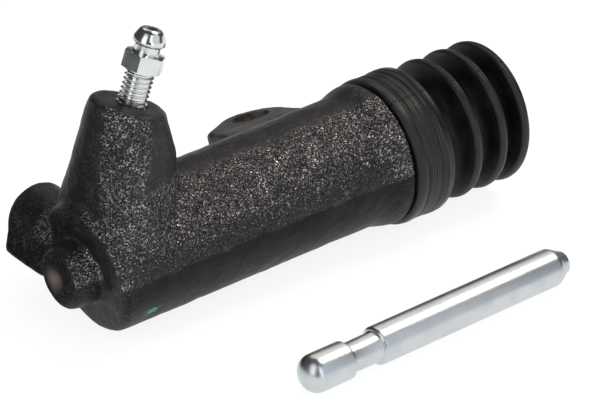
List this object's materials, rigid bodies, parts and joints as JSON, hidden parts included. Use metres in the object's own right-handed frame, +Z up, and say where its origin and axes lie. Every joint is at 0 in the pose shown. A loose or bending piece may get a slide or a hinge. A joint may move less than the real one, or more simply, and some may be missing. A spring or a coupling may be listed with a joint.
{
  "type": "clutch slave cylinder",
  "caption": "Hydraulic clutch slave cylinder: iron casting with bleeder tower, pipe boss and lug, bellows boot over a spring-backed piston, and a loose push rod lying beside it.",
  "frame": {"origin": "centre of the bounding box's footprint, on the surface that the cylinder and the rod lie on", "axes": "+X runs along the bore towards the boot, which lies 1.8 degrees nose-up as in the picture; +Z is up, away from the surface; the pipe boss and the lug point to +Y, and the push rod lies on the -Y side"},
  "size_m": [0.1464, 0.106, 0.0813],
  "materials": {
    "painted_casting": "rough sand casting under thin black paint, with grey metallic speckle",
    "boot_rubber": "satin black moulded rubber",
    "cup_rubber": "smooth black rubber, wet with fluid",
    "zinc_plate": "bright bluish zinc plate over turned steel",
    "piston_aluminium": "fine turned aluminium",
    "spring_steel": "drawn spring wire, lightly oiled"
  },
  "bodies": {
    "cylinder": {"cylinder_body": "painted_casting", "boot": "boot_rubber", "return_spring": "spring_steel", "push_rod": "zinc_plate"},
    "piston_unit": {"piston": "piston_aluminium", "piston_cup": "cup_rubber"},
    "bleeder": {"bleeder_screw": "zinc_plate"}
  },
  "joints": [
    {"name": "piston_slide", "type": "slide", "parent": "cylinder", "child": "piston_unit", "axis": [0.9995, 0, 0.0314], "range_m": [-0.035, 0.008], "stiffness_N_per_m": 400, "deforming": ["return_spring"]},
    {"name": "bleeder_turn", "type": "hinge", "parent": "cylinder", "child": "bleeder", "pos_m": [-0.04893, 0.01205, 0.06122], "axis": [0.3453, 0, 0.9385], "range_deg": [0, 360]}
  ]
}
